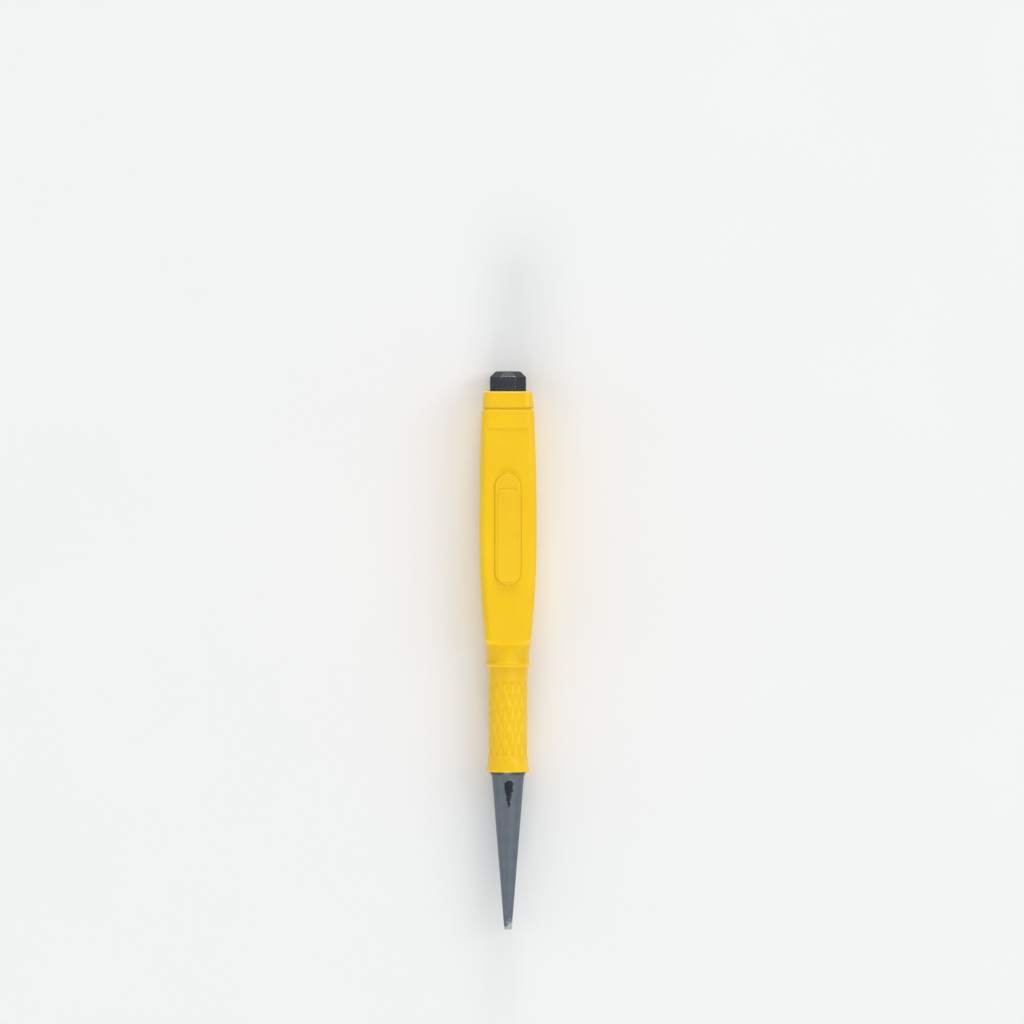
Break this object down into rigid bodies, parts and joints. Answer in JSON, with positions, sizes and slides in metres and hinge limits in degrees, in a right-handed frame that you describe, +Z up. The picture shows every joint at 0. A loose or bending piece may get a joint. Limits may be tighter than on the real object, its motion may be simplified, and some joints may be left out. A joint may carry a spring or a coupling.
{
  "type": "nail setter",
  "caption": "Hand nail setter: a tapered steel punch with a cupped tip and an octagonal striking head, in a square barrelled soft-grip handle with a diamond-patterned neck.",
  "frame": {"origin": "on the surface that the tool lies on, under the middle of its length and width", "axes": "+Y along the tool from the tip to the striking head, +Z up through the raised pad, +X to the right as seen from above with the head away from the viewer"},
  "size_m": [0.013, 0.127, 0.0126],
  "materials": {
    "punch_steel": "blackened, semi-gloss, bare and ground bright at the tip",
    "hard_yellow": "moulded, satin",
    "soft_yellow": "soft-touch, fine matt grain"
  },
  "bodies": {
    "root": {"steel_punch": "punch_steel", "handle_core": "hard_yellow", "soft_grip": "soft_yellow"}
  },
  "joints": []
}
